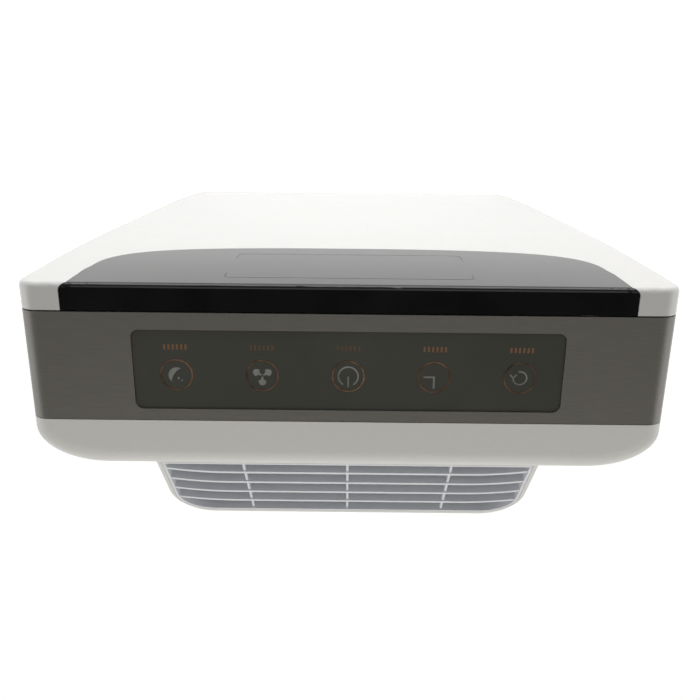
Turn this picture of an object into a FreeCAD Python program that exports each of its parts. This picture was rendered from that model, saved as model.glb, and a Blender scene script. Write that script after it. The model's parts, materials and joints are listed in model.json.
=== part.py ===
import FreeCAD, Part

import math
import os

# Upright air purifier: a thin box body with a front cover, a filter chamber behind it, and a fan in a
# bump at the rear that blows out through a sloping grille.
# Frame: millimetres, +Z up, -Y is the front, origin on the floor under the middle of the whole object.

os.makedirs("parts", exist_ok=True)
V = FreeCAD.Vector

# ---------------------------------------------------------------- overall sizes
WIDTH = 400.0
HEIGHT = 600.0
FOOT_H = 6.0
CROWN = 5.0            # how far the front face bulges
CROWN_RUN = 200.0      # height over which the bulge rises, from the top and from the bottom
COVER_D = 17.3         # depth of the front cover at its edge
BAND_D = 69.6          # depth of the grey middle frame
REAR_D = 33.6          # depth of the white rear housing
BUMP_D = 64.5          # how far the fan bump stands out of the rear
DEPTH = CROWN + COVER_D + BAND_D + REAR_D + BUMP_D

CROWN_Y = -DEPTH / 2
EDGE_Y = CROWN_Y + CROWN
COVER_BACK_Y = EDGE_Y + COVER_D
BAND_BACK_Y = COVER_BACK_Y + BAND_D
REAR_Y = BAND_BACK_Y + REAR_D
BUMP_Y = REAR_Y + BUMP_D

# ---------------------------------------------------------------- shells
SEAM = 0.6             # gap between neighbouring shells
TOP_R = 13.0           # top edges
REAR_R = 26.0          # upright rear edges: how far they reach forwards, all within the rear housing
REAR_RUN = 46.0        # and how far they reach inwards from the sides
BOTTOM_R = 13.0        # bottom edges
FRONT_R = 3.5          # edge round the front face
COVER_WALL = 3.0
LENS_T = 2.0
BAND_WALL = 2.6
REAR_WALL = 2.6
LOOSE = 0.3            # clearance between pieces that only lie beside each other
RUN_FIT = 0.05         # radial clearance of a pin or shaft that turns or slides

# black lens on the front cover
LENS_SIDE = 27.5       # from the side of the body to the lens where it goes over the top edge
LENS_TOP_X = WIDTH / 2 - LENS_SIDE
LENS_LEAN = 6.0        # how far its side leans in on the way down
LENS_LOW_X = LENS_TOP_X - LENS_LEAN
LENS_LOW_S = 45.0      # depth below the top where its side starts to turn in
LENS_END_R = 4.5       # round corners at the ends of its strip along the top edge
LENS_END_IN = 0.4      # and how far behind the front face's edge they end
LENS_DEEP = 108.0      # depth below the top at the middle
LENS_GAP = 0.35
WINDOW_X = 77.2        # display window, half width
WINDOW_S0 = 17.2
WINDOW_S1 = 85.8

# control window in the top of the middle frame
CONTROL_X = 132.0
CONTROL_Y0 = EDGE_Y + 28.3
CONTROL_Y1 = EDGE_Y + 79.5
CONTROL_R = 5.0
CONTROL_SINK = 0.9
CONTROL_T = 2.2
CONTROL_LEDGE = 3.0
BUTTON_PITCH = CONTROL_X * 0.4
BUTTON_Y = EDGE_Y + 57.1
RING_R = 10.2
RING_W = 0.9
RING_PROUD = 0.15
BUTTONS = [-2, -1, 0, 1, 2]

# filter chamber
SIDE_DUCT = 24.0       # from the side of the body to the chamber
CHAMBER_X = WIDTH / 2 - SIDE_DUCT
CHAMBER_Z0 = 30.0
CHAMBER_TOP_S = 118.0  # depth of the chamber's top below the top of the body
CHAMBER_Z1 = HEIGHT - CHAMBER_TOP_S
CHAMBER_WALL = 2.4
CHAMBER_Y0 = COVER_BACK_Y + 2.7
DECK_Y0 = BAND_BACK_Y - 2.9    # bulkhead that carries the fan
DECK_T = 2.4
FILTER_GAP = 1.1
PREFILTER_T = 6.0
HEPA_T = 37.0
SEAL_T = 2.0
CARBON_T = 10.0
LAYER_GAP = 1.4
FRAME_W = 10.0
HEPA_WALL = 3.0
PLEAT_PITCH = 8.0
PLEAT_T = 0.6
TAB_W = 34.0

# fan
BUMP_X = 125.0         # half width of the fan bump
FAN_TOP_S = 315.0      # depth of the fan's axis below the top of the body
FAN_Z = HEIGHT - FAN_TOP_S
IMPELLER_R = 88.0
IMPELLER_IN_R = 72.0
BLADE_COUNT = 36
BLADE_T = 1.2
BLADE_LEAN = 16.0      # degrees that a blade's tip runs ahead of its root
SCROLL_WALL = 2.4
SCROLL_GAP = 1.0       # between the scroll and the inside of the bump
CUTOFF_GAP = 7.0       # between the impeller and the scroll's tongue
SCROLL_R0 = IMPELLER_R + CUTOFF_GAP
SCROLL_R1 = BUMP_X - REAR_WALL - SCROLL_WALL - SCROLL_GAP
TONGUE_DEG = 58.0
THROAT_R = IMPELLER_IN_R + 2.0
SHAFT_R = 4.0
PRESS_FIT = 0.02       # radial gap between the shaft and what is fixed to it
MOTOR_R = 40.0
ROTOR_R = 22.0
AIR_GAP = 1.0          # between rotor and stator
NUT_R = 7.5
NUT_T = 6.0
CUP_R = MOTOR_R + 8.0

# fan bump and outlet grille
BUMP_R = 28.0
BUMP_Z0 = 96.0
BUMP_SLOPE_IN = 56.0
PLATE_SIDE = 41.5      # from the side of the body to the rear cover
PLATE_X = WIDTH / 2 - PLATE_SIDE
PLATE_Z0 = 40.0
PLATE_TOP_S = 29.0
PLATE_Z1 = HEIGHT - PLATE_TOP_S
PLATE_R = 12.0
GRILLE_TOP_S = 11.5    # top edge of the slope below the top of the body
GRILLE_TOP_OUT = 0.8   # and behind the rear face
GRILLE_LOW_S = 56.0
GRILLE_LOW_IN = 6.0    # how far the slope's low edge stays inside the bump's rear face
GRILLE_X = BUMP_X - REAR_WALL - LOOSE      # the grille fills the bump's open top between its walls
GRILLE_TOP_V = 1.0     # grille's upper edge below the top of the slope
GRILLE_RIM = 1.8
SLAT_COUNT = 4
SLAT_T = 2.6
SLAT_D = 13.0
SLAT_BEND_R = 150.0
SLAT_BENT = 42.0       # length of a slat's bent ends
SLAT_STRAIGHT_X = GRILLE_X - SLAT_BENT
RIB_T = 1.6
SLAT_BACK = 0.6        # slats' edges behind the face of the grille
RIB_BACK = 1.4         # ribs' edges behind it
RIB_PITCH = 69.0
RIBS = [-RIB_PITCH, 0.0, RIB_PITCH]

# small parts
FOOT_R = 13.0
FOOT_SIDE = 50.0       # from the side of the body to a foot's middle
FOOT_X = WIDTH / 2 - FOOT_SIDE
FOOT_IN = 22.0         # from the seam or the rear face to a foot's middle
STEM_R = 3.5
LEDGE_OUT = 6.0
LEDGE_W = 20.0
LEDGE_T = 2.4
SCREW_R = 1.75
SCREW_HEAD_R = 3.3
SCREW_L = 9.0
MAGNET_R = 5.0
MAGNET_T = 3.0
BOARD_T = 1.6


# ---------------------------------------------------------------- helpers
def box(x0, x1, y0, y1, z0, z1):
    return Part.makeBox(x1 - x0, y1 - y0, z1 - z0, V(x0, y0, z0))


def cyl_y(r, y0, y1, x=0.0, z=0.0):
    return Part.makeCylinder(r, y1 - y0, V(x, y0, z), V(0, 1, 0))


def cyl_z(r, z0, z1, x=0.0, y=0.0):
    return Part.makeCylinder(r, z1 - z0, V(x, y, z0), V(0, 0, 1))


def cyl_x(r, x0, x1, y=0.0, z=0.0):
    return Part.makeCylinder(r, x1 - x0, V(x0, y, z), V(1, 0, 0))


def tube_y(r_out, r_in, y0, y1, x=0.0, z=0.0):
    return cyl_y(r_out, y0, y1, x, z).cut(cyl_y(r_in, y0 - 1, y1 + 1, x, z))


def join(shapes):
    whole = shapes[0].multiFuse(shapes[1:])
    return whole.removeSplitter()


def polygon_prism(points, push):
    return Part.Face(Part.makePolygon([V(*p) for p in points + points[:1]])).extrude(V(*push))


def rounded_wire(a0, a1, b0, b1, r, place):
    """A rectangle with round corners; place turns its two coordinates into a point."""
    k = r * math.sqrt(0.5)
    lines = [((a0 + r, b0), (a1 - r, b0)), ((a1, b0 + r), (a1, b1 - r)),
             ((a1 - r, b1), (a0 + r, b1)), ((a0, b1 - r), (a0, b0 + r))]
    middles = [(a1 - r + k, b0 + r - k), (a1 - r + k, b1 - r + k),
               (a0 + r - k, b1 - r + k), (a0 + r - k, b0 + r - k)]
    edges = []
    for i in range(4):
        start, end = lines[i]
        nxt = lines[(i + 1) % 4][0]
        edges.append(Part.LineSegment(V(*place(*start)), V(*place(*end))).toShape())
        edges.append(Part.Arc(V(*place(*end)), V(*place(*middles[i])), V(*place(*nxt))).toShape())
    return Part.Wire(edges)


def prism_y(x0, x1, z0, z1, r, y0, y1):
    wire = rounded_wire(x0, x1, z0, z1, r, lambda a, b: (a, y0, b))
    return Part.Face(wire).extrude(V(0, y1 - y0, 0))


def prism_z(x0, x1, y0, y1, r, z0, z1):
    wire = rounded_wire(x0, x1, y0, y1, r, lambda a, b: (a, b, z0))
    return Part.Face(wire).extrude(V(0, 0, z1 - z0))


def frame_y(x0, x1, z0, z1, r, w, y0, y1):
    inner_r = max(r - w, 0.5)
    hole = prism_y(x0 + w, x1 - w, z0 + w, z1 - w, inner_r, y0 - 1, y1 + 1)
    return prism_y(x0, x1, z0, z1, r, y0, y1).cut(hole)


def ends(edge):
    return [v.Point for v in edge.Vertexes]


def on_plane(edge, axis, value):
    return all(abs(getattr(p, axis) - value) < 1e-5 for p in ends(edge))


def export(node, shape):
    if not shape.isValid() or shape.Volume <= 0 or not shape.Solids:
        raise ValueError("bad solid: " + node)
    shape.exportStep("parts/" + node + ".step")
    print(node, len(shape.Solids), "solid(s)", round(shape.Volume / 1000.0, 2), "cm3")


# ---------------------------------------------------------------- body shape
def body_block(inset, front_y):
    """The body's outer form with its rounded rear, moved inwards by inset, from front_y to the rear."""
    x = WIDTH / 2 - inset
    z0 = FOOT_H + inset
    z1 = HEIGHT - inset
    rear = REAR_Y - inset
    run = REAR_RUN - inset
    deep = REAR_R - inset
    start = rear - deep
    right = Part.ArcOfEllipse(Part.Ellipse(V(x - run, start, z0), run, deep), 0, math.pi / 2)
    left = Part.ArcOfEllipse(Part.Ellipse(V(run - x, start, z0), run, deep), math.pi / 2, math.pi)
    corners = [V(run - x, rear, z0), V(x - run, rear, z0)]
    front = [V(-x, start, z0), V(-x, front_y, z0), V(x, front_y, z0), V(x, start, z0)]
    edges = [right.toShape(), left.toShape(), Part.LineSegment(*corners).toShape()]
    for i in range(len(front) - 1):
        edges.append(Part.LineSegment(front[i], front[i + 1]).toShape())
    block = Part.Face(Part.Wire(Part.__sortEdges__(edges))).extrude(V(0, 0, z1 - z0))
    for z, r in ((z1, TOP_R - inset), (z0, BOTTOM_R - inset)):
        loop = [e for e in block.Edges if on_plane(e, "z", z) and not on_plane(e, "y", front_y)]
        block = block.makeFillet(r, loop)
    return block


def body_prism(inset, y0, y1):
    """The body's outline ahead of its rounded rear, moved inwards by inset, as a prism along Y."""
    x = WIDTH / 2 - inset
    z0 = FOOT_H + inset
    z1 = HEIGHT - inset
    top_r = TOP_R - inset
    low_r = BOTTOM_R - inset
    half = math.sqrt(0.5)
    edges = []
    for side in (-1, 1):
        top_c = V(side * (x - top_r), y0, z1 - top_r)
        low_c = V(side * (x - low_r), y0, z0 + low_r)
        edges.append(Part.Arc(top_c + V(side * top_r, 0, 0), top_c + V(side * top_r * half, 0, top_r * half),
                              top_c + V(0, 0, top_r)).toShape())
        edges.append(Part.Arc(low_c + V(side * low_r, 0, 0), low_c + V(side * low_r * half, 0, -low_r * half),
                              low_c + V(0, 0, -low_r)).toShape())
        edges.append(Part.LineSegment(top_c + V(side * top_r, 0, 0), low_c + V(side * low_r, 0, 0)).toShape())
    edges.append(Part.LineSegment(V(-x + top_r, y0, z1), V(x - top_r, y0, z1)).toShape())
    edges.append(Part.LineSegment(V(-x + low_r, y0, z0), V(x - low_r, y0, z0)).toShape())
    wire = Part.Wire(Part.__sortEdges__(edges))
    return Part.Face(wire).extrude(V(0, y1 - y0, 0))


def crown_prism(inset):
    """All space behind the bulged front face, moved back by inset. The bulge is a parabola at each end."""
    spare = 10.0
    z0 = FOOT_H - spare
    z1 = HEIGHT + spare
    ridge = CROWN_Y + inset
    edge = ridge + CROWN * (1 + spare / CROWN_RUN) ** 2
    run = CROWN_RUN + spare
    top = Part.BezierCurve()
    top.setPoles([V(0, edge, z1), V(0, ridge, z1 - run / 2), V(0, ridge, z1 - run)])
    low = Part.BezierCurve()
    low.setPoles([V(0, ridge, z0 + run), V(0, ridge, z0 + run / 2), V(0, edge, z0)])
    far = REAR_Y + 50
    corners = [V(0, edge, z0), V(0, far, z0), V(0, far, z1), V(0, edge, z1)]
    edges = [top.toShape(),
             Part.LineSegment(V(0, ridge, z1 - run), V(0, ridge, z0 + run)).toShape(),
             low.toShape()]
    for i in range(len(corners) - 1):
        edges.append(Part.LineSegment(corners[i], corners[i + 1]).toShape())
    face = Part.Face(Part.Wire(edges))
    face.translate(V(-WIDTH, 0, 0))
    return face.extrude(V(2 * WIDTH, 0, 0))


def cover_form(inset):
    """The closed form of the front cover, moved inwards by inset, reaching back past its seam."""
    block = body_prism(inset, CROWN_Y - 10, COVER_BACK_Y + 5).common(crown_prism(inset))
    edge_r = FRONT_R - inset
    inside = WIDTH / 2 - inset - 0.5
    low = FOOT_H + inset + 0.5
    high = HEIGHT - inset - 0.5

    def on_rim(e):
        middle = e.valueAt((e.FirstParameter + e.LastParameter) / 2)
        ahead = all(p.y < EDGE_Y + inset + 0.01 for p in ends(e) + [middle])
        return ahead and (abs(middle.x) > inside or middle.z < low or middle.z > high
                          or ends(e)[0].distanceToPoint(ends(e)[1]) < inside)

    return block.makeFillet(edge_r, [e for e in block.Edges if on_rim(e)])


def lens_prism(grow):
    """Outline of the black lens as a prism along Y, grown by grow."""
    top = HEIGHT + 5
    top_x = LENS_TOP_X + grow
    low_x = LENS_LOW_X + grow
    low_z = HEIGHT - LENS_LOW_S
    deep_z = HEIGHT - LENS_DEEP - grow
    right = Part.BezierCurve()
    right.setPoles([V(0, CROWN_Y - 5, deep_z), V(low_x * 0.75, CROWN_Y - 5, deep_z),
                    V(low_x, CROWN_Y - 5, deep_z + LENS_DEEP * 0.13), V(low_x, CROWN_Y - 5, low_z)])
    left = Part.BezierCurve()
    left.setPoles([V(-low_x, CROWN_Y - 5, low_z), V(-low_x, CROWN_Y - 5, deep_z + LENS_DEEP * 0.13),
                   V(-low_x * 0.75, CROWN_Y - 5, deep_z), V(0, CROWN_Y - 5, deep_z)])
    corners = [V(low_x, CROWN_Y - 5, low_z), V(top_x, CROWN_Y - 5, HEIGHT), V(top_x, CROWN_Y - 5, top),
               V(-top_x, CROWN_Y - 5, top), V(-top_x, CROWN_Y - 5, HEIGHT), V(-low_x, CROWN_Y - 5, low_z)]
    edges = [right.toShape()]
    for i in range(len(corners) - 1):
        edges.append(Part.LineSegment(corners[i], corners[i + 1]).toShape())
    edges.append(left.toShape())
    face_form = Part.Face(Part.Wire(edges)).extrude(V(0, COVER_D + CROWN + 20, 0))
    return face_form.common(lens_end_prism(grow, top_x))


def lens_end_prism(grow, top_x):
    """Seen from above: the lens is narrower on the front face than on the top edge, with a round step."""
    front = CROWN_Y - 10
    back = COVER_BACK_Y + 20
    centre_x = LENS_TOP_X - LENS_END_R
    centre_y = EDGE_Y + LENS_END_R + LENS_END_IN
    face_x = centre_x + grow
    r = LENS_END_R + grow
    step_y = centre_y - math.sqrt(r * r - grow * grow)
    edges = [Part.LineSegment(V(-face_x, front, 0), V(face_x, front, 0)).toShape(),
             Part.LineSegment(V(-top_x, back, 0), V(top_x, back, 0)).toShape()]
    for side in (-1, 1):
        middle = V(side * (centre_x + r * math.sqrt(0.5)), centre_y - r * math.sqrt(0.5), 0)
        edges.append(Part.LineSegment(V(side * face_x, front, 0), V(side * face_x, step_y, 0)).toShape())
        edges.append(Part.Arc(V(side * face_x, step_y, 0), middle, V(side * top_x, centre_y, 0)).toShape())
        edges.append(Part.LineSegment(V(side * top_x, centre_y, 0), V(side * top_x, back, 0)).toShape())
    return Part.Face(Part.Wire(Part.__sortEdges__(edges))).extrude(V(0, 0, HEIGHT + 20))


# ---------------------------------------------------------------- front cover
MAGNET_SPOTS = [(sx * (CHAMBER_X + 9.0), z) for sx in (-1, 1) for z in (CHAMBER_Z0 + 30, CHAMBER_Z1 - 30)]
TAB_BACK_Y = CHAMBER_Y0 + 3.0
BODY_MAGNET_Y0 = CHAMBER_Y0 - MAGNET_T
COVER_MAGNET_Y1 = BODY_MAGNET_Y0 - LOOSE
SWITCH_X = 150.0
SWITCH_Z = CHAMBER_Z1 + 7.0
PLUNGER_R = 2.5
PLUNGER_TIP_Y = CHAMBER_Y0 - 7.0


def make_cover():
    outer = cover_form(0.0)
    lens_skin = outer.cut(cover_form(LENS_T))
    inner = cover_form(COVER_WALL)
    behind = box(-WIDTH, WIDTH, COVER_BACK_Y - SEAM, COVER_BACK_Y + 5, 0, HEIGHT + 10)
    lens_cut = lens_skin.common(lens_prism(LENS_GAP))
    cover = outer.cut(inner).cut(lens_cut)
    window = prism_y(-WINDOW_X, WINDOW_X, HEIGHT - WINDOW_S1, HEIGHT - WINDOW_S0, 4.0,
                     CROWN_Y - 5, COVER_BACK_Y)
    cover = cover.cut(window.cut(lens_skin))
    extras = []
    for x, z in MAGNET_SPOTS:
        cup = cyl_y(MAGNET_R + 1.6, CROWN_Y, COVER_MAGNET_Y1, x, z)
        cup = cup.cut(cyl_y(MAGNET_R + RUN_FIT, COVER_MAGNET_Y1 - MAGNET_T, COVER_MAGNET_Y1 + 1, x, z))
        extras.append(cup.common(crown_prism(COVER_WALL / 2)))
    key = box(SWITCH_X - 4, SWITCH_X + 4, CROWN_Y, PLUNGER_TIP_Y - LOOSE, SWITCH_Z - 4, SWITCH_Z + 4)
    extras.append(key.common(crown_prism(LENS_T + 0.4)))
    for z in [CHAMBER_Z0 + 60, (CHAMBER_Z0 + CHAMBER_Z1) / 2, CHAMBER_Z1 - 60]:
        rib = box(-CHAMBER_X + 10, CHAMBER_X - 10, CROWN_Y, EDGE_Y + 4.5, z - 0.9, z + 0.9)
        extras.append(rib.common(crown_prism(COVER_WALL / 2)))
    cover = join([cover] + extras).cut(behind)
    export("front_cover", cover)
    lens = lens_skin.common(lens_prism(0.0)).cut(behind)
    export("display_lens", lens)
    magnets = [cyl_y(MAGNET_R, COVER_MAGNET_Y1 - MAGNET_T, COVER_MAGNET_Y1, x, z) for x, z in MAGNET_SPOTS]
    export("cover_magnets", Part.makeCompound(magnets))


# ---------------------------------------------------------------- middle frame and control window
SLOT_H = 5.0
SLOT_PITCH = 11.0
SLOT_Y0 = COVER_BACK_Y + 14.0
SLOT_Y1 = BAND_BACK_Y - 14.0
SLOT_Z0 = CHAMBER_Z0 + 60.0
SLOT_Z1 = CHAMBER_Z1 - 50.0
DOOR_Z0 = CHAMBER_Z1 - 12.0
DOOR_H = 36.0
DOOR_Y0 = COVER_BACK_Y + 14.0
DOOR_W = 42.0
DOOR_T = 2.2
HINGE_R = 1.5


def slot_heights():
    count = int((SLOT_Z1 - SLOT_Z0) // SLOT_PITCH)
    return [SLOT_Z0 + i * SLOT_PITCH for i in range(count + 1)]


def control_prism(shrink, z0, z1):
    return prism_z(-CONTROL_X + shrink, CONTROL_X - shrink, CONTROL_Y0 + shrink, CONTROL_Y1 - shrink,
                   max(CONTROL_R - shrink, 0.5), z0, z1)


LENS_TOP_Z = HEIGHT - CONTROL_SINK
LENS_LOW_Z = LENS_TOP_Z - CONTROL_T


def make_mid_frame():
    y0 = COVER_BACK_Y + SEAM / 2
    y1 = BAND_BACK_Y - SEAM / 2
    shell = body_prism(0.0, y0, y1).cut(body_prism(BAND_WALL, y0 - 1, y1 + 1))
    ledge_z = LENS_LOW_Z - 1.6
    rim = control_prism(-CONTROL_LEDGE, ledge_z, HEIGHT - BAND_WALL + 0.5)
    shell = join([shell, rim])
    shell = shell.cut(control_prism(0.0, LENS_LOW_Z, HEIGHT + 5))
    shell = shell.cut(control_prism(CONTROL_LEDGE, ledge_z - 1, HEIGHT + 5))
    cuts = []
    for side in (-1, 1):
        x0 = side * (WIDTH / 2) - 8
        for z in slot_heights():
            cuts.append(Part.Face(rounded_wire(SLOT_Y0, SLOT_Y1, z, z + SLOT_H, SLOT_H / 2 - 0.01,
                                               lambda a, b: (x0, a, b))).extrude(V(16, 0, 0)))
    door_open = box(WIDTH / 2 - 8, WIDTH / 2 + 5, DOOR_Y0, DOOR_Y0 + DOOR_W,
                    DOOR_Z0 - LOOSE, DOOR_Z0 + DOOR_H)
    for side in (-1, 1):
        cuts.append(grip_prism(side, 0.0, 12.0))
        cuts.append(cyl_z(STEM_R + RUN_FIT, 0, 20, side * FOOT_X, foot_y(-1)))
    shell = shell.cut(Part.makeCompound(cuts)).cut(door_open)
    # two ears inside the wall carry the sensor door's pins
    pin_x, pin_z = door_pin()
    ears = []
    for ya, yb in ((DOOR_Y0 - 3.0, DOOR_Y0), (DOOR_Y0 + DOOR_W, DOOR_Y0 + DOOR_W + 3.0)):
        ear = box(pin_x - 4.0, WIDTH / 2 - BAND_WALL + 0.5, ya, yb, pin_z - 4.0, pin_z + 4.0)
        ears.append(ear)
    shell = join([shell] + ears)
    shell = shell.cut(cyl_y(HINGE_R + RUN_FIT, DOOR_Y0 - 10, DOOR_Y0 + DOOR_W + 10, pin_x, pin_z))
    export("mid_frame", shell)


def door_pin():
    return WIDTH / 2 - 3.4, DOOR_Z0 + 3.4


def make_sensor_door():
    """A small flap in the right side wall, over the dust sensor, hinged at its lower edge."""
    pin_x, pin_z = door_pin()
    plate = box(WIDTH / 2 - DOOR_T, WIDTH / 2, DOOR_Y0 + LOOSE, DOOR_Y0 + DOOR_W - LOOSE,
                DOOR_Z0 + 2.6, DOOR_Z0 + DOOR_H - LOOSE)
    knuckle = cyl_y(2.6, DOOR_Y0 + LOOSE, DOOR_Y0 + DOOR_W - LOOSE, pin_x, pin_z)
    pins = cyl_y(HINGE_R, DOOR_Y0 - 2.6, DOOR_Y0 + DOOR_W + 2.6, pin_x, pin_z)
    web = box(pin_x, WIDTH / 2 - 0.4, DOOR_Y0 + LOOSE, DOOR_Y0 + DOOR_W - LOOSE, pin_z - 0.6, pin_z + 4)
    catch = box(WIDTH / 2 - 6.0, WIDTH / 2 - 1.0, DOOR_Y0 + DOOR_W / 2 - 4, DOOR_Y0 + DOOR_W / 2 + 4,
                DOOR_Z0 + DOOR_H - 4.0, DOOR_Z0 + DOOR_H - 2.4)
    dish = box(WIDTH / 2 - 0.7, WIDTH / 2 + 1, DOOR_Y0 + DOOR_W / 2 - 7, DOOR_Y0 + DOOR_W / 2 + 7,
               DOOR_Z0 + DOOR_H - 5.0, DOOR_Z0 + DOOR_H + 1)
    export("sensor_door", join([plate, knuckle, pins, web, catch]).cut(dish))
    y_mid = DOOR_Y0 + DOOR_W / 2
    sensor = box(WIDTH / 2 - 24, WIDTH / 2 - 9, y_mid - 15, y_mid + 15, DOOR_Z0 + 15.5, DOOR_Z0 + DOOR_H + 2)
    hole = cyl_x(4.0, WIDTH / 2 - 14, WIDTH / 2 - 8, y_mid, DOOR_Z0 + 25)
    export("dust_sensor", sensor.cut(hole))


def make_controls():
    lens = control_prism(LOOSE, LENS_LOW_Z, LENS_TOP_Z)
    rings = []
    for i in BUTTONS:
        x = i * BUTTON_PITCH
        ring = cyl_z(RING_R, LENS_TOP_Z - 0.4, LENS_TOP_Z + RING_PROUD, x, BUTTON_Y)
        ring = ring.cut(cyl_z(RING_R - RING_W, LENS_TOP_Z - 2, LENS_TOP_Z + 2, x, BUTTON_Y))
        rings.append(ring)
    export("touch_rings", Part.makeCompound(rings))
    export("control_lens", lens.cut(Part.makeCompound(rings)))
    board_z1 = LENS_LOW_Z - 6.0
    board_x = CONTROL_X - 6.0
    y0 = CONTROL_Y0 + 5.0
    y1 = CONTROL_Y1 - 5.0
    chip = box(20, 34, CONTROL_Y0 + 8, CONTROL_Y0 + 16, board_z1 - BOARD_T - 2, board_z1 - BOARD_T)
    plug = box(-60, -40, CONTROL_Y0 + 8, CONTROL_Y0 + 14, board_z1 - BOARD_T - 6, board_z1 - BOARD_T)
    export("touch_board", join([box(-board_x, board_x, y0, y1, board_z1 - BOARD_T, board_z1), chip, plug]))
    springs = []
    for i in BUTTONS:
        x = i * BUTTON_PITCH
        outer = Part.makeCone(6.5, 8.5, LENS_LOW_Z - board_z1, V(x, BUTTON_Y, board_z1), V(0, 0, 1))
        inner = Part.makeCone(5.7, 7.7, LENS_LOW_Z - board_z1, V(x, BUTTON_Y, board_z1), V(0, 0, 1))
        springs.append(outer.cut(inner))
    export("touch_springs", Part.makeCompound(springs))
    export("buzzer", cyl_z(6.0, board_z1 - BOARD_T - 6.5, board_z1 - BOARD_T, 80, (y0 + y1) / 2))
    # shelf that holds the touch board and the main board, fixed to the bulkhead
    shelf_z = board_z1 - BOARD_T - 11.0
    shelf = [box(-board_x - 6, board_x + 6, CONTROL_Y0 + 2, DECK_Y0, shelf_z - 2, shelf_z),
             box(-board_x - 6, board_x + 6, DECK_Y0 - 2, DECK_Y0, shelf_z - 26, shelf_z)]
    for x in (-board_x + 5, -25.0, 60.0, board_x - 5):
        for y in (y0 + 4, y1 - 4):
            shelf.append(cyl_z(3.0, shelf_z, board_z1 - BOARD_T, x, y))
    export("control_shelf", join(shelf))
    # main board stands on posts on the filter chamber's roof
    board_z = CHAMBER_Z1 + 10.0
    parts = [box(-110, 90, CHAMBER_Y0 + 6, DECK_Y0 - 4, board_z, board_z + BOARD_T)]
    for x0, x1, ya, yb, h in ((-100, -76, 12, 30, 16), (-60, -44, 10, 26, 10), (-30, 6, 14, 40, 3),
                              (20, 34, 30, 50, 12), (50, 80, 10, 22, 9)):
        parts.append(box(x0, x1, CHAMBER_Y0 + ya, CHAMBER_Y0 + yb, board_z + BOARD_T, board_z + BOARD_T + h))
    export("main_board", join(parts))


def make_display():
    """LED board behind the front lens, on a bracket that stands on the filter chamber."""
    plate_y1 = CHAMBER_Y0 - 2.0
    z0 = HEIGHT - WINDOW_S1 - 2
    z1 = HEIGHT - WINDOW_S0 + 2
    x = WINDOW_X + 2
    bracket = [box(-x, x, plate_y1 - 2, plate_y1, CHAMBER_Z1, z1 + 2),
               box(-x, x, plate_y1 - 2, CHAMBER_Y0 + 12, CHAMBER_Z1, CHAMBER_Z1 + 2)]
    for px in (-x + 6, x - 6):
        for pz in (z0 + 6, z1 - 6):
            bracket.append(cyl_y(3, plate_y1 - 5, plate_y1 - 2, px, pz))
    export("display_bracket", join(bracket))
    board_y1 = plate_y1 - 5
    board = box(-x, x, board_y1 - BOARD_T, board_y1, z0, z1)
    export("display_board", board)
    mask_y1 = board_y1 - BOARD_T
    mask = box(-x + 1, x - 1, mask_y1 - 4.5, mask_y1, z0 + 1, z1 - 1)
    wells = []
    for i in range(3):
        cx = (i - 1) * 34.0
        wells.append(box(cx - 12, cx + 12, mask_y1 - 6, mask_y1 + 1, z0 + 24, z1 - 10))
    for i in range(5):
        cx = (i - 2) * 26.0
        wells.append(box(cx - 9, cx + 9, mask_y1 - 6, mask_y1 + 1, z0 + 8, z0 + 18))
    export("display_mask", mask.cut(Part.makeCompound(wells)))


# ---------------------------------------------------------------- filter chamber, filters
def make_chamber():
    x = CHAMBER_X
    w = CHAMBER_WALL
    deck_in = BAND_WALL + LOOSE
    deck = body_prism(deck_in, DECK_Y0, DECK_Y0 + DECK_T)
    walls = box(-x, x, CHAMBER_Y0, DECK_Y0 + 0.5, CHAMBER_Z0, CHAMBER_Z1)
    walls = walls.cut(box(-x + w, x - w, CHAMBER_Y0 - 1, DECK_Y0, CHAMBER_Z0 + w, CHAMBER_Z1 - w))
    ledge = box(-x, x, DECK_Y0 - 5.0, DECK_Y0 - 3.0, CHAMBER_Z0, CHAMBER_Z1)
    ledge = ledge.cut(box(-x + 9, x - 9, DECK_Y0 - 6, DECK_Y0, CHAMBER_Z0 + 9, CHAMBER_Z1 - 9))
    extras = [walls, ledge]
    for mx, mz in MAGNET_SPOTS:
        side = 1 if mx > 0 else -1
        xa = side * (x - 1)
        xb = mx + side * 7.0
        extras.append(box(min(xa, xb), max(xa, xb), CHAMBER_Y0, TAB_BACK_Y, mz - 8, mz + 8))
    for bx, by in board_posts():
        extras.append(cyl_z(3.0, CHAMBER_Z1 - 0.5, CHAMBER_Z1 + 10.0, bx, by))
    chamber = join([deck] + extras)
    chamber = chamber.cut(cyl_y(THROAT_R + 6, DECK_Y0 - 2, DECK_Y0 + DECK_T + 2, 0, FAN_Z))
    for sx, sz in scroll_lugs():
        chamber = chamber.cut(cyl_y(SCREW_R + RUN_FIT, DECK_Y0 - 2, DECK_Y0 + DECK_T + 2, sx, sz))
    export("filter_chamber", chamber)
    magnets = [cyl_y(MAGNET_R, BODY_MAGNET_Y0, CHAMBER_Y0, mx, mz) for mx, mz in MAGNET_SPOTS]
    export("body_magnets", Part.makeCompound(magnets))


def board_posts():
    return [(x, y) for x in (-104.0, 84.0) for y in (CHAMBER_Y0 + 11, DECK_Y0 - 9)]


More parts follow.
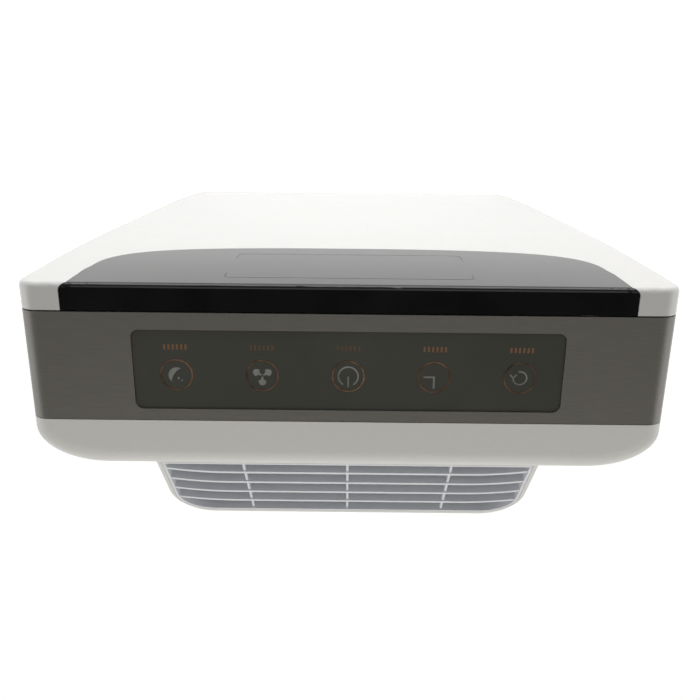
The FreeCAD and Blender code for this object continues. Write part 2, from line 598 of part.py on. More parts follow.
FILTER_X = CHAMBER_X - CHAMBER_WALL - FILTER_GAP
FILTER_Z0 = CHAMBER_Z0 + CHAMBER_WALL + FILTER_GAP
FILTER_Z1 = CHAMBER_Z1 - CHAMBER_WALL - FILTER_GAP
CARBON_Y1 = DECK_Y0 - 5.0 - LOOSE
CARBON_Y0 = CARBON_Y1 - CARBON_T
SEAL_Y1 = CARBON_Y0 - LOOSE
HEPA_Y1 = SEAL_Y1 - SEAL_T
HEPA_Y0 = HEPA_Y1 - HEPA_T
PREFILTER_Y1 = HEPA_Y0 - LAYER_GAP
PREFILTER_Y0 = PREFILTER_Y1 - PREFILTER_T


def make_filters():
    x = FILTER_X
    z0 = FILTER_Z0
    z1 = FILTER_Z1
    mid = (z0 + z1) / 2
    net_y = PREFILTER_Y1 - PREFILTER_T / 2
    frame = [frame_y(-x, x, z0, z1, 6.0, FRAME_W, PREFILTER_Y0, PREFILTER_Y1)]
    for k in (-1, 1):
        frame.append(box(k * x / 3 - 2, k * x / 3 + 2, PREFILTER_Y0 + 1, net_y, z0 + 2, z1 - 2))
    for k in (-1, 0, 1):
        zc = mid + k * (z1 - z0) / 4
        frame.append(box(-x + 2, x - 2, PREFILTER_Y0 + 1, net_y, zc - 2, zc + 2))
    grip = box(-22, 22, PREFILTER_Y0 - 1.4, PREFILTER_Y0 + 0.5, z1 - 8, z1 - 3)
    export("prefilter_frame", join(frame + [grip]))
    net = box(-x + FRAME_W, x - FRAME_W, net_y, net_y + 0.6, z0 + FRAME_W, z1 - FRAME_W)
    export("prefilter_net", net)
    export("hepa_frame", frame_y(-x, x, z0, z1, 3.0, HEPA_WALL, HEPA_Y0, HEPA_Y1))
    inner_x = x - HEPA_WALL
    count = int(2 * inner_x // PLEAT_PITCH)
    pitch = 2 * inner_x / count
    y_front = HEPA_Y0 + 1.5
    y_back = HEPA_Y1 - 1.5
    path = []
    for i in range(count):
        path.append((-inner_x + i * pitch, y_back))
        path.append((-inner_x + (i + 0.5) * pitch, y_front))
    path.append((inner_x, y_back))
    shift = PLEAT_T * math.hypot(1, (y_back - y_front) / (pitch / 2))
    ribbon = [(px, py - shift / 2) for px, py in path] + [(px, py + shift / 2) for px, py in reversed(path)]
    points = [(px, py, z0 + HEPA_WALL) for px, py in ribbon]
    pleats = polygon_prism(points, (0, 0, z1 - z0 - 2 * HEPA_WALL))
    inside = box(-inner_x + 0.1, inner_x - 0.1, HEPA_Y0 + 0.5, HEPA_Y1 - 0.5, z0, z1)
    export("hepa_pleats", pleats.common(inside))
    export("hepa_seal", frame_y(-x, x, z0, z1, 3.0, 7.0, HEPA_Y1, SEAL_Y1))
    tabs = []
    for side in (-1, 1):
        cx = side * x / 2
        tab = box(cx - TAB_W / 2, cx + TAB_W / 2, HEPA_Y0 - 1.0, HEPA_Y0, z1 - 26, z1)
        slit = box(cx - 10, cx + 10, HEPA_Y0 - 2, HEPA_Y0 + 1, z1 - 22, z1 - 14)
        tabs.append(tab.cut(slit))
    export("hepa_tabs", Part.makeCompound(tabs))
    export("carbon_frame", frame_y(-x, x, z0, z1, 3.0, 4.0, CARBON_Y0, CARBON_Y1))
    core = prism_y(-x + 4, x - 4, z0 + 4, z1 - 4, 0.5, CARBON_Y0 + 1, CARBON_Y1 - 1)
    export("carbon_core", core)


# ---------------------------------------------------------------- rear housing, rear cover, grille
SLOPE_Y0 = REAR_Y + GRILLE_TOP_OUT
SLOPE_Z0 = HEIGHT - GRILLE_TOP_S
SLOPE_Y1 = BUMP_Y - GRILLE_LOW_IN
SLOPE_Z1 = HEIGHT - GRILLE_LOW_S
SLOPE = math.atan2(SLOPE_Z0 - SLOPE_Z1, SLOPE_Y1 - SLOPE_Y0)
GRILLE_LOW_V = (BUMP_Y - REAR_WALL - LOOSE - SLOPE_Y0) / math.cos(SLOPE)


def slope_point(u, v, n=0.0):
    """A point on the outlet's slope: u along X, v down the slope, n out of it."""
    return (u, SLOPE_Y0 + v * math.cos(SLOPE) + n * math.sin(SLOPE),
            SLOPE_Z0 - v * math.sin(SLOPE) + n * math.cos(SLOPE))


def slope_push(depth):
    return V(0, depth * math.sin(SLOPE), depth * math.cos(SLOPE))


def bump_form(inset, front_y):
    """The fan bump as a closed form, moved inwards by inset."""
    x = BUMP_X - inset
    back = BUMP_Y - inset
    form = box(-x, x, front_y, back, BUMP_Z0 - 20, HEIGHT + 40)
    upright = [e for e in form.Edges if on_plane(e, "y", back) and abs(ends(e)[0].x - ends(e)[1].x) < 1e-5]
    form = form.makeFillet(BUMP_R - inset, upright)
    y0 = SLOPE_Y0
    dy = inset / math.sin(SLOPE)
    slope = math.tan(SLOPE)
    reach = 300.0
    top_cut = polygon_prism([(-reach, y0 - reach - dy, SLOPE_Z0 + reach * slope),
                             (-reach, y0 + reach - dy, SLOPE_Z0 - reach * slope),
                             (-reach, y0 + 2 * reach, HEIGHT + 500),
                             (-reach, y0 - reach - dy, HEIGHT + 500)], (2 * reach, 0, 0))
    low = BUMP_Z0 + inset * 1.4
    rise = BUMP_SLOPE_IN
    low_cut = polygon_prism([(-reach, REAR_Y - reach, low - reach * rise / BUMP_D),
                             (-reach, REAR_Y + reach, low + reach * rise / BUMP_D),
                             (-reach, REAR_Y + reach, low - 900), (-reach, REAR_Y - reach, low - 900)],
                            (2 * reach, 0, 0))
    lid = box(-reach, reach, REAR_Y - reach, REAR_Y + reach, SLOPE_Z0 - inset, HEIGHT + 500)
    return form.cut(top_cut).cut(low_cut).cut(lid)


def outlet_outline(grow, n):
    """Wire on the slope: straight top, sides and a low edge with round corners."""
    x = GRILLE_X + grow
    v0 = GRILLE_TOP_V - grow
    v1 = GRILLE_LOW_V + grow
    r = BUMP_R - REAR_WALL - LOOSE + grow
    k = r * (1 - math.sqrt(0.5))

    def at(u, v):
        return V(*slope_point(u, v, n))

    edges = [Part.LineSegment(at(-x, v0), at(x, v0)).toShape(),
             Part.LineSegment(at(x, v0), at(x, v1 - r)).toShape(),
             Part.Arc(at(x, v1 - r), at(x - k, v1 - k), at(x - r, v1)).toShape(),
             Part.LineSegment(at(x - r, v1), at(-x + r, v1)).toShape(),
             Part.Arc(at(-x + r, v1), at(-x + k, v1 - k), at(-x, v1 - r)).toShape(),
             Part.LineSegment(at(-x, v1 - r), at(-x, v0)).toShape()]
    return Part.Wire(edges)


def outlet_prism(grow, n0, n1):
    return Part.Face(outlet_outline(grow, n0)).extrude(slope_push(n1 - n0))


def make_rear_housing():
    y0 = BAND_BACK_Y + SEAM / 2
    slab = box(-WIDTH, WIDTH, y0, REAR_Y + 5, 0, HEIGHT + 10)
    outer = body_block(0.0, EDGE_Y)
    shell = outer.cut(body_block(REAR_WALL, EDGE_Y - 1)).common(slab)
    opening = prism_y(-PLATE_X - SEAM, PLATE_X + SEAM, PLATE_Z0 - SEAM, PLATE_Z1 + SEAM, PLATE_R + SEAM,
                      REAR_Y - 20, REAR_Y + 5)
    notch = box(-BUMP_X - SEAM, BUMP_X + SEAM, REAR_Y - 24, REAR_Y + 10, HEIGHT - 80, SLOPE_Z0 + 1.2)
    shell = shell.cut(opening).cut(notch)
    # ledge behind the rear cover's edge, which its screws go into
    ledge = frame_y(-PLATE_X - LEDGE_OUT, PLATE_X + LEDGE_OUT, PLATE_Z0 - LEDGE_OUT, PLATE_Z1 + LEDGE_OUT,
                    PLATE_R + LEDGE_OUT, LEDGE_W, REAR_Y - REAR_WALL - LEDGE_T, REAR_Y - REAR_WALL)
    ledge = ledge.common(body_block(REAR_WALL / 2, EDGE_Y))
    ledge = ledge.cut(box(-BUMP_X - SEAM, BUMP_X + SEAM, REAR_Y - 24, REAR_Y + 10, HEIGHT - 80, HEIGHT))
    shell = join([shell, ledge])
    for x, z in SCREW_SPOTS:
        shell = shell.cut(cyl_y(SCREW_R + RUN_FIT, REAR_Y - 10, REAR_Y, x, z))
    for side in (-1, 1):
        shell = shell.cut(cyl_z(STEM_R + RUN_FIT, 0, 20, side * FOOT_X, foot_y(1)))
    export("rear_housing", shell)


GRIP_Z0 = CHAMBER_Z1 + 38.0
GRIP_Z1 = GRIP_Z0 + 28.0
GRIP_Y0 = COVER_BACK_Y + 10.0
GRIP_W = BAND_D - 20.0
GRIP_DEEP = 20.0
GRIP_WALL = 2.0


def grip_prism(side, grow, deep, lip=4.0):
    """Space of a grip hollow in a side wall, from deep inside to lip outside."""
    x_out = side * (WIDTH / 2 + lip)
    x_in = side * (WIDTH / 2 - deep)
    wire = rounded_wire(GRIP_Y0 - grow, GRIP_Y0 + GRIP_W + grow, GRIP_Z0 - grow, GRIP_Z1 + grow, 8.0 + grow,
                        lambda a, b: (x_in, a, b))
    return Part.Face(wire).extrude(V(x_out - x_in, 0, 0))


def make_grips():
    wall = BAND_WALL
    for side, name in ((-1, "grip_cup_left"), (1, "grip_cup_right")):
        hollow = grip_prism(side, -LOOSE - GRIP_WALL, GRIP_DEEP, 4.0)
        cup = grip_prism(side, -LOOSE, GRIP_DEEP + GRIP_WALL, -0.4)
        flange = grip_prism(side, 3.0, wall + 1.5, -wall)
        export(name, join([cup, flange]).cut(hollow))


INLET_X = 60.0
INLET_Z = 66.0
INLET_W = 22.4
INLET_H = 12.4
INLET_DEEP = 16.0
INLET_SPREAD = 8.6
SCREW_SPOTS = [(sx * (PLATE_X - 9), z) for sx in (-1, 1)
               for z in (PLATE_Z0 + 12, PLATE_Z0 + 180, PLATE_Z0 + 350, PLATE_Z1 - 14)]


def inlet_wire_prism(grow, y0, y1):
    return prism_y(INLET_X - INLET_W / 2 - grow, INLET_X + INLET_W / 2 + grow, INLET_Z - INLET_H / 2 - grow,
                   INLET_Z + INLET_H / 2 + grow, INLET_H / 2 + grow - 0.01, y0, y1)


def make_rear_cover():
    plate = prism_y(-PLATE_X, PLATE_X, PLATE_Z0, PLATE_Z1, PLATE_R, REAR_Y - REAR_WALL, REAR_Y)
    shell = bump_form(0.0, REAR_Y - REAR_WALL)
    inner = bump_form(REAR_WALL, REAR_Y - 40)
    cover = join([plate, shell]).cut(inner)
    cover = cover.cut(outlet_prism(LOOSE, -30.0, 10.0))
    cover = cover.cut(inlet_wire_prism(2.0 + LOOSE, REAR_Y - 10, REAR_Y + 5))
    for x, z in SCREW_SPOTS:
        cover = cover.cut(cyl_y(SCREW_HEAD_R + LOOSE, REAR_Y - 0.9, REAR_Y + 1, x, z))
        cover = cover.cut(cyl_y(SCREW_R + RUN_FIT, REAR_Y - 8, REAR_Y + 1, x, z))
    export("rear_cover", cover)
    body = inlet_wire_prism(2.0, REAR_Y - INLET_DEEP - 3, REAR_Y - 0.4)
    body = body.cut(inlet_wire_prism(0.0, REAR_Y - INLET_DEEP, REAR_Y + 2))
    flange = inlet_wire_prism(4.5, REAR_Y - REAR_WALL - 1.6, REAR_Y - REAR_WALL)
    flange = flange.cut(inlet_wire_prism(1.0, REAR_Y - 10, REAR_Y + 2))
    pins = []
    for side in (-1, 1):
        x = INLET_X + side * INLET_SPREAD / 2
        pins.append(cyl_y(1.2, REAR_Y - INLET_DEEP - 7, REAR_Y - 5, x, INLET_Z))
    socket = join([body, flange]).cut(Part.makeCompound(pins))
    export("power_inlet", socket)
    export("inlet_pins", Part.makeCompound(pins))
    screws = []
    for x, z in SCREW_SPOTS:
        head = cyl_y(SCREW_HEAD_R, REAR_Y - 0.9, REAR_Y - 0.1, x, z)
        cross = join([box(x - 1.8, x + 1.8, REAR_Y - 0.7, REAR_Y + 1, z - 0.4, z + 0.4),
                      box(x - 0.4, x + 0.4, REAR_Y - 0.7, REAR_Y + 1, z - 1.8, z + 1.8)])
        stem = cyl_y(SCREW_R, REAR_Y - SCREW_L, REAR_Y - 0.8, x, z)
        screws.append(join([head.cut(cross), stem]))
    export("rear_cover_screws", Part.makeCompound(screws))


def slat_face(v, n):
    """A thin ribbon on the slope: straight in the middle, ends bent towards the slope's top."""
    x = GRILLE_X - 1.0
    r = SLAT_BEND_R

    def drop(u):
        over = max(abs(u) - SLAT_STRAIGHT_X, 0.0)
        return r - math.sqrt(r * r - over * over)

    def at(u, w):
        return V(*slope_point(u, v - drop(u) + w, n))

    s = SLAT_STRAIGHT_X
    mid = (x + s) / 2
    a = -SLAT_T / 2
    b = SLAT_T / 2
    edges = [Part.LineSegment(at(-s, a), at(s, a)).toShape(),
             Part.Arc(at(s, a), at(mid, a), at(x, a)).toShape(),
             Part.LineSegment(at(x, a), at(x, b)).toShape(),
             Part.Arc(at(x, b), at(mid, b), at(s, b)).toShape(),
             Part.LineSegment(at(s, b), at(-s, b)).toShape(),
             Part.Arc(at(-s, b), at(-mid, b), at(-x, b)).toShape(),
             Part.LineSegment(at(-x, b), at(-x, a)).toShape(),
             Part.Arc(at(-x, a), at(-mid, a), at(-s, a)).toShape()]
    return Part.Face(Part.Wire(edges))


def make_grille():
    rim = outlet_prism(0.0, -SLAT_D, 0.0).cut(outlet_prism(-GRILLE_RIM, -SLAT_D - 1, 1.0))
    pieces = [rim]
    pitch = (GRILLE_LOW_V - GRILLE_TOP_V) / (SLAT_COUNT + 1)
    for i in range(SLAT_COUNT):
        v = GRILLE_TOP_V + (i + 1) * pitch
        pieces.append(slat_face(v, -SLAT_D).extrude(slope_push(SLAT_D - SLAT_BACK)))
    v0 = GRILLE_TOP_V + GRILLE_RIM / 2
    v1 = GRILLE_LOW_V - GRILLE_RIM / 2
    for u in RIBS:
        corners = [slope_point(u + side * RIB_T / 2, v, -SLAT_D)
                   for side, v in ((-1, v0), (1, v0), (1, v1), (-1, v1))]
        push = slope_push(SLAT_D - RIB_BACK)
        pieces.append(polygon_prism(corners, (push.x, push.y, push.z)))
    grille = join(pieces).common(outlet_prism(0.0, -SLAT_D, 0.0))
    export("outlet_grille", grille)


# ---------------------------------------------------------------- fan
DECK_BACK = DECK_Y0 + DECK_T
FAN_Y0 = DECK_BACK + 6.0
FAN_Y1 = BUMP_Y - 31.0
SCROLL_BACK_Y0 = FAN_Y1 + 3.0
SCROLL_BACK_T = 2.4
CUP_Y = FAN_Y0 + 20.0
MOTOR_Y0 = CUP_Y + 6.0
MOTOR_Y1 = SCROLL_BACK_Y0 + SCROLL_BACK_T + 3.0
MOTOR_WALL = 2.0
MOTOR_SCREW_OUT = 7.0  # motor screws outside the can
FLANGE_OUT = 13.0      # and the motor's flange
FLANGE_T = 2.5
BEARING_R = 11.0
BEARING_T = 6.0


def scroll_radius(deg):
    """Inner radius of the spiral at an angle counted from the tongue, through one turn to the right side."""
    share = (deg - TONGUE_DEG) / (360.0 - TONGUE_DEG)
    return SCROLL_R0 + (SCROLL_R1 - SCROLL_R0) * share


def spiral_points(extra):
    points = []
    steps = 24
    for i in range(steps + 1):
        deg = TONGUE_DEG + (360.0 - TONGUE_DEG) * i / steps
        r = scroll_radius(deg) + extra
        a = math.radians(deg)
        points.append(V(r * math.cos(a), 0, FAN_Z + r * math.sin(a)))
    return points


DUCT_X = SCROLL_R1
DUCT_TOP = SLOPE_Z1 - 22.0     # stays below the grille's blades all along the slope
LEFT_TURN = FAN_Z + SCROLL_R1 + 66
LUG_R = 6.0
LUG_OUT = SCROLL_WALL + 4.0
LUG_DEPTH = 12.0


def make_scroll():
    """Spiral wall with its outlet duct up to the grille, and a back wall that carries the motor."""
    y0 = DECK_BACK + LOOSE
    y1 = SCROLL_BACK_Y0 + SCROLL_BACK_T
    w = SCROLL_WALL
    curves = []
    rows = [spiral_points(0.0), spiral_points(w)]
    for row in rows:
        curve = Part.BSplineCurve()
        curve.interpolate(row)
        curves.append(curve.toShape())
    caps = [Part.LineSegment(rows[0][k], rows[1][k]).toShape() for k in (0, -1)]
    face = Part.Face(Part.Wire(Part.__sortEdges__(curves + caps)))
    face.translate(V(0, y0, 0))
    spiral = face.extrude(V(0, y1 - y0, 0))
    tongue = spiral_points(w / 2)[0]
    slant = polygon_prism([(tongue.x, y0, tongue.z - 0.5), (tongue.x + 1.5, y0, tongue.z + w),
                           (-DUCT_X, y0, LEFT_TURN + w), (-DUCT_X - w, y0, LEFT_TURN + w),
                           (-DUCT_X - w, y0, LEFT_TURN)], (0, y1 - y0, 0))
    right = box(DUCT_X, DUCT_X + w, y0, y1, FAN_Z, DUCT_TOP)
    left = box(-DUCT_X - w, -DUCT_X, y0, y1, LEFT_TURN, DUCT_TOP)
    back = [cyl_y(SCROLL_R1 + w, SCROLL_BACK_Y0, y1, 0, FAN_Z),
            box(-DUCT_X - w, DUCT_X + w, SCROLL_BACK_Y0, y1, FAN_Z, DUCT_TOP)]
    lugs = [cyl_y(LUG_R, y0, y0 + LUG_DEPTH, x, z) for x, z in scroll_lugs()]
    whole = join([spiral, slant, right, left] + back + lugs)
    whole = whole.cut(cyl_y(MOTOR_R + 1.0, SCROLL_BACK_Y0 - 1, y1 + 1, 0, FAN_Z))
    for x, z in scroll_lugs():
        whole = whole.cut(cyl_y(SCREW_R + RUN_FIT, y0 - 1, y0 + LUG_DEPTH + 1, x, z))
    for x, z in motor_spots():
        whole = whole.cut(cyl_y(SCREW_R + RUN_FIT, SCROLL_BACK_Y0 - 1, y1 + 1, x, z))
    export("scroll_housing", whole)
    screws = [fan_screw(x, y0 + LUG_DEPTH, z, LUG_DEPTH + 2) for x, z in scroll_lugs()]
    export("scroll_screws", Part.makeCompound(screws))


def scroll_lugs():
    """Screw lugs round the outside of the spiral and the duct."""
    out = DUCT_X + LUG_OUT
    spots = [(out, FAN_Z + 60), (out, DUCT_TOP - 20), (-out, DUCT_TOP - 20)]
    for deg in (190.0, 255.0):
        r = scroll_radius(deg) + LUG_OUT
        spots.append((r * math.cos(math.radians(deg)), FAN_Z + r * math.sin(math.radians(deg))))
    return spots


def motor_spots():
    r = MOTOR_R + MOTOR_SCREW_OUT
    return [(r * math.cos(a), FAN_Z + r * math.sin(a)) for a in (math.pi / 6 + k * 2 * math.pi / 3
                                                                  for k in range(3))]


def fan_screw(x, y, z, length=SCREW_L):
    """A pan-head screw whose head rests on a face at y, stem towards the front."""
    head = cyl_y(SCREW_HEAD_R, y, y + 2.2, x, z)
    slot = join([box(x - 2, x + 2, y + 1.2, y + 4, z - 0.4, z + 0.4),
                 box(x - 0.4, x + 0.4, y + 1.2, y + 4, z - 2, z + 2)])
    stem = cyl_y(SCREW_R, y - length, y + 0.2, x, z)
    return join([head.cut(slot), stem])


def revolve_y(points):
    """Turns a closed outline of (radius, y) points round the fan's axis."""
    wire = Part.makePolygon([V(r, y, FAN_Z) for r, y in points + points[:1]])
    return Part.Face(wire).revolve(V(0, 0, FAN_Z), V(0, 1, 0), 360)


def make_fan():
    ring_y = DECK_BACK
    lip = 4.5
    ring = revolve_y([(THROAT_R + 16, ring_y), (THROAT_R + 16, ring_y + 1.8), (THROAT_R + 6, ring_y + 1.8),
                      (THROAT_R + 2.2, ring_y + 2.6), (THROAT_R + 1.6, ring_y + lip),
                      (THROAT_R, ring_y + lip),
                      (THROAT_R, ring_y + 2.0), (THROAT_R + 1.8, ring_y + 0.6), (THROAT_R + 5, ring_y)])
    export("inlet_ring", ring)
    guard = []
    for i in range(6):
        r = 14.0 + i * 12.4
        guard.append(tube_y(r + 0.9, r - 0.9, DECK_Y0 - 2.0, DECK_Y0, 0, FAN_Z))
    guard.append(tube_y(THROAT_R + 10, THROAT_R + 4.5, DECK_Y0 - 2.0, DECK_Y0, 0, FAN_Z))
    for k in range(6):
        spoke = box(0, THROAT_R + 6, DECK_Y0 - 2.0, DECK_Y0, FAN_Z - 0.9, FAN_Z + 0.9)
        spoke.rotate(V(0, 0, FAN_Z), V(0, 1, 0), 60.0 * k)
        guard.append(spoke)
    export("fan_guard", join(guard))
    # impeller: dished back plate, curved blades and a front ring, one moulding
    bore_r = SHAFT_R + PRESS_FIT
    disc = revolve_y([(IMPELLER_R, FAN_Y1 - 2), (IMPELLER_R, FAN_Y1), (CUP_R, FAN_Y1),
                      (CUP_R - 2, FAN_Y1 - 0.5), (CUP_R - 2, CUP_Y + 2), (bore_r, CUP_Y + 2),
                      (bore_r, CUP_Y - 10),
                      (12, CUP_Y - 10), (13, CUP_Y), (CUP_R - 2, CUP_Y), (CUP_R, CUP_Y + 2),
                      (CUP_R, FAN_Y1 - 2)])
    front = tube_y(IMPELLER_R, IMPELLER_IN_R, FAN_Y0, FAN_Y0 + 2, 0, FAN_Z)
    blades = []
    for k in range(BLADE_COUNT):
        blades.append(blade(360.0 * k / BLADE_COUNT))
    export("impeller", join([disc, front] + blades))
    shaft = cyl_y(SHAFT_R, CUP_Y - 18, MOTOR_Y1 - MOTOR_WALL - 0.5, 0, FAN_Z)
    export("fan_shaft", shaft)
    nut = Part.makePolygon([V(NUT_R * math.cos(math.radians(60 * i)), CUP_Y - 16,
                              FAN_Z + NUT_R * math.sin(math.radians(60 * i))) for i in range(7)])
    nut = Part.Face(nut).extrude(V(0, NUT_T, 0))
    nut = nut.cut(cyl_y(SHAFT_R + PRESS_FIT, CUP_Y - 18, CUP_Y - 8, 0, FAN_Z))
    export("shaft_nut", nut)


def blade(deg):
    """A forward-curved blade from the inner to the outer radius."""
    mid_r = (IMPELLER_R + IMPELLER_IN_R) / 2

    def at(r, turn, shift):
        a = math.radians(turn)
        return V((r + shift) * math.cos(a), FAN_Y0 + 1, FAN_Z + (r + shift) * math.sin(a))

    t = math.degrees(BLADE_T / mid_r)
    sweep = [(IMPELLER_IN_R + 0.8, 0.0), (mid_r, BLADE_LEAN * 0.3), (IMPELLER_R - 0.8, BLADE_LEAN)]
    p = [at(r, deg + a, 0) for r, a in sweep]
    q = [at(r, deg + a + t, 0) for r, a in sweep]
    edges = [Part.Arc(p[0], p[1], p[2]).toShape(), Part.LineSegment(p[2], q[2]).toShape(),
             Part.Arc(q[2], q[1], q[0]).toShape(), Part.LineSegment(q[0], p[0]).toShape()]
    return Part.Face(Part.Wire(edges)).extrude(V(0, FAN_Y1 - FAN_Y0 - 2, 0))


def make_motor():
    y0 = MOTOR_Y0
    y1 = MOTOR_Y1
    w = MOTOR_WALL
    flange_y0 = SCROLL_BACK_Y0 + SCROLL_BACK_T
    can = cyl_y(MOTOR_R, y0, y1, 0, FAN_Z).cut(cyl_y(MOTOR_R - w, y0 + w, y1 - w, 0, FAN_Z))
    flange = cyl_y(MOTOR_R + FLANGE_OUT, flange_y0, flange_y0 + FLANGE_T, 0, FAN_Z)
    flange = flange.cut(cyl_y(MOTOR_R - w, y0, y1 + 5, 0, FAN_Z))
    seats = []
    for ya in (y0 + w, y1 - w - BEARING_T):
        seats.append(tube_y(BEARING_R + 2, BEARING_R, ya - 0.5, ya + BEARING_T + 0.5, 0, FAN_Z))
    body = join([can, flange] + seats)
    body = body.cut(cyl_y(SHAFT_R + 1.5, y0 - 1, y0 + w + 1, 0, FAN_Z))
    for x, z in motor_spots():
        body = body.cut(cyl_y(SCREW_R + RUN_FIT, flange_y0 - 1, flange_y0 + 5, x, z))
    export("motor_body", body)
    for name, ya in (("front_bearing", y0 + w), ("rear_bearing", y1 - w - BEARING_T)):
        export(name, tube_y(BEARING_R, SHAFT_R + RUN_FIT, ya, ya + BEARING_T, 0, FAN_Z))
    ya = y0 + w + BEARING_T + 2
    yb = y1 - w - BEARING_T - 2
    export("motor_stator", tube_y(MOTOR_R - w, ROTOR_R + AIR_GAP, ya, yb, 0, FAN_Z))
    export("motor_rotor", tube_y(ROTOR_R, SHAFT_R + PRESS_FIT, ya, yb, 0, FAN_Z))
    screws = [fan_screw(x, flange_y0 + FLANGE_T, z, 7.0) for x, z in motor_spots()]
    export("motor_screws", Part.makeCompound(screws))


# ---------------------------------------------------------------- base, feet, power supply, interlock
def foot_y(side):
    return REAR_Y - FOOT_IN if side > 0 else COVER_BACK_Y + FOOT_IN


def make_base():
    for sx, side in ((-1, "left"), (1, "right")):
        for sy, end in ((-1, "front"), (1, "rear")):
            x = sx * FOOT_X
            y = foot_y(sy)
            pad = Part.makeCone(FOOT_R - 1.5, FOOT_R, FOOT_H, V(x, y, 0), V(0, 0, 1))
            stem = cyl_z(STEM_R, FOOT_H - 0.5, FOOT_H + BAND_WALL + 5, x, y)
            export("foot_" + end + "_" + side, join([pad, stem]))
    z0 = FOOT_H + BAND_WALL
    base = prism_z(-FOOT_X - 20, FOOT_X + 20, COVER_BACK_Y + 4, DECK_Y0 - LOOSE, 3.0, z0, z0 + 3)
    for sx in (-1, 1):
        base = base.cut(cyl_z(STEM_R + RUN_FIT, 0, 40, sx * FOOT_X, foot_y(-1)))
    export("base_plate", base)


def make_power_supply():
    z0 = FOOT_H + REAR_WALL + 12
    y1 = REAR_Y - REAR_WALL - INLET_DEEP + 2
    y0 = DECK_BACK + 4
    board = box(-120, 30, y0, y0 + BOARD_T, z0 + 4, z0 + 70)
    parts = [board]
    for x0, x1, za, zb, d in ((-112, -84, 10, 40, 11), (-76, -60, 8, 24, 9), (-50, -20, 12, 44, 10),
                              (-10, 20, 14, 34, 8), (-76, -58, 34, 60, 7)):
        parts.append(box(x0, x1, y0 + BOARD_T, min(y0 + BOARD_T + d, y1), z0 + za, z0 + zb))
    for x in (-114, 24):
        for z in (z0 + 8, z0 + 66):
            parts.append(cyl_y(2.5, DECK_BACK, y0, x, z))
    export("power_supply", join(parts))


def make_interlock():
    x = SWITCH_X
    z = SWITCH_Z
    body = box(x - 10, x + 10, CHAMBER_Y0 - 1, CHAMBER_Y0 + 14, CHAMBER_Z1, z + 7)
    bore = cyl_y(PLUNGER_R + RUN_FIT, CHAMBER_Y0 - 5, CHAMBER_Y0 + 10, x, z)
    export("interlock_switch", body.cut(bore))
    plunger = cyl_y(PLUNGER_R, PLUNGER_TIP_Y, CHAMBER_Y0 + 7, x, z)
    export("interlock_plunger", plunger)


make_cover()
make_mid_frame()
make_sensor_door()
make_controls()
make_display()
make_chamber()
make_filters()
make_rear_housing()
make_grips()
make_rear_cover()
make_grille()
make_scroll()
make_fan()
make_motor()
make_base()
make_power_supply()
make_interlock()
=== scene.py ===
import json
import math

import bpy
from mathutils import Matrix, Vector


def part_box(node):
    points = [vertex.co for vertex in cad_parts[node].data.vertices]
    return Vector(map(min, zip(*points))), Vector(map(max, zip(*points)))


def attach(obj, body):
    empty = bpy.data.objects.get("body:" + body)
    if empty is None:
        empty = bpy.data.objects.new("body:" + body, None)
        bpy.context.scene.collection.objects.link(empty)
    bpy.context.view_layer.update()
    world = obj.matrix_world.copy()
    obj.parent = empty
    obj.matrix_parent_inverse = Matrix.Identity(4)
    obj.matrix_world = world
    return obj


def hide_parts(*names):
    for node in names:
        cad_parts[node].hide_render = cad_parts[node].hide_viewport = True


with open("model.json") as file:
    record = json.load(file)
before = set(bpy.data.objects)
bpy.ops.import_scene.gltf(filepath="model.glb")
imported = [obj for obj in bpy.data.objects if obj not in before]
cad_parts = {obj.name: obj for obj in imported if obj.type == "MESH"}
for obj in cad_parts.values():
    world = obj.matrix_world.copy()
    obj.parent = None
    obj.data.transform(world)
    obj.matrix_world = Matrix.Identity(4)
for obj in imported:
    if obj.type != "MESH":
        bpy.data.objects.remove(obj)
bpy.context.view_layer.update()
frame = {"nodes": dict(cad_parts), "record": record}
nodes = frame["nodes"]
MM = 0.001


# ---------------------------------------------------------------- camera, light, floor
EYE = (-0.0013, -0.1830, 1.0259)
HEADING, TILT, ROLL = 179.844, -17.31, 0.744     # degrees
LENS_MM, SENSOR_MM = 37.8, 36.0

# name, place, what it points at, width and height, watts, colour
LAMPS = [
    ("front_lamp", (0.0, -1.7, 0.5), (0.0, 0.0, 0.35), (1.6, 0.9), 12.0, (1.0, 1.0, 1.0)),
    ("top_lamp", (0.0, -0.9, 2.1), (0.0, 0.0, 0.5), (1.6, 0.8), 3.5, (0.93, 0.96, 1.0)),
    ("rear_lamp", (0.0, 0.8, 1.2), (0.0, 0.0, 0.5), (1.6, 0.5), 4.6, (1.0, 0.97, 0.90)),
    ("left_fill", (1.7, 0.1, 0.9), (0.0, 0.0, 0.4), (1.2, 1.0), 2.5, (1.0, 0.98, 0.95)),
    ("right_fill", (-1.7, 0.1, 0.9), (0.0, 0.0, 0.4), (1.2, 1.0), 2.5, (1.0, 0.98, 0.95)),
]
HORIZON_GLOW, OVERHEAD_GLOW = 0.95, 0.05
FADE_FROM, FADE_TO = 0.05, 0.75    # the glow fades between these heights on a sphere of radius 1
FLOOR_SIZE = 12.0


def place_camera():
    """Looks down on the purifier's top from in front of it, with the front at the top of the picture."""
    data = bpy.data.cameras.new("camera")
    data.sensor_width = SENSOR_MM
    data.lens = LENS_MM
    camera = bpy.data.objects.new("camera", data)
    bpy.context.scene.collection.objects.link(camera)
    heading = Matrix.Rotation(math.radians(HEADING), 4, "Z")
    tilt = Matrix.Rotation(math.radians(TILT), 4, "X")
    roll = Matrix.Rotation(math.radians(ROLL), 4, "Z")
    camera.matrix_world = Matrix.Translation(EYE) @ heading @ tilt @ roll
    bpy.context.scene.camera = camera


